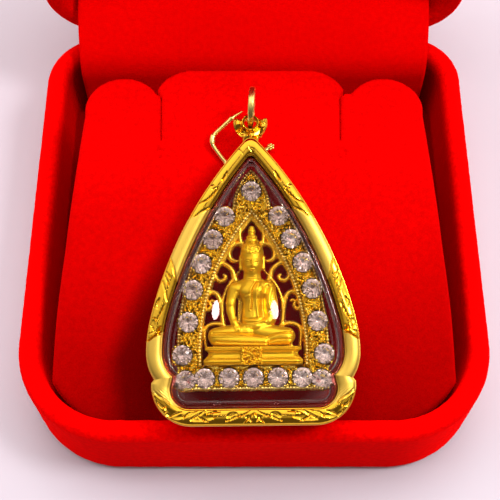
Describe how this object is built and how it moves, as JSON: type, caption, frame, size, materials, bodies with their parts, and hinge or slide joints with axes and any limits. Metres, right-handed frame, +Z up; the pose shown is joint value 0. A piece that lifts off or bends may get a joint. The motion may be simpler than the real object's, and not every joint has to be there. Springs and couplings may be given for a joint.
{
  "type": "buddha amulet pendant in hinged jewellery box",
  "caption": "Gold teardrop amulet case with clear windows over a seated figure in a stone-set border, leaning on the velvet card of an open, hinged jewellery box.",
  "frame": {"origin": "centre of the box base's bottom face, on the table", "axes": "+X to the right seen from the front, +Y from the front towards the hinge, +Z up"},
  "size_m": [0.0612, 0.0876, 0.0769],
  "materials": {
    "polished_gold": "polished, engraved gold plate",
    "matte_gold": "soft matte gold plate",
    "clear_acrylic": "clear, polished acrylic",
    "clear_stone": "faceted, clear",
    "flocked_shell": "moulded plastic flocked with red velvet pile",
    "red_velvet": "red velvet",
    "steel": "drawn wire"
  },
  "bodies": {
    "base": {"case_frame": "polished_gold", "front_window": "clear_acrylic", "back_window": "clear_acrylic", "stone_border": "polished_gold", "scroll_panel": "polished_gold", "buddha_figure": "matte_gold", "pedestal": "matte_gold", "jump_ring": "polished_gold", "bent_pin": "polished_gold", "stone_01": "clear_stone", "stone_02": "clear_stone", "stone_03": "clear_stone", "stone_04": "clear_stone", "stone_05": "clear_stone", "stone_06": "clear_stone", "stone_07": "clear_stone", "stone_08": "clear_stone", "stone_09": "clear_stone", "stone_10": "clear_stone", "stone_11": "clear_stone", "stone_12": "clear_stone", "stone_13": "clear_stone", "stone_14": "clear_stone", "stone_15": "clear_stone", "stone_16": "clear_stone", "stone_17": "clear_stone", "stone_18": "clear_stone", "stone_19": "clear_stone", "stone_20": "clear_stone", "box_base": "flocked_shell", "velvet_card": "red_velvet", "base_liner": "red_velvet", "hinge_pin": "steel"},
    "lid": {"box_lid": "flocked_shell", "lid_liner": "red_velvet"}
  },
  "joints": [
    {"name": "lid_hinge", "type": "hinge", "parent": "base", "child": "lid", "pos_m": [0, 0.0314, 0.01415], "axis": [1, 0, 0], "range_deg": [0, 85]}
  ]
}
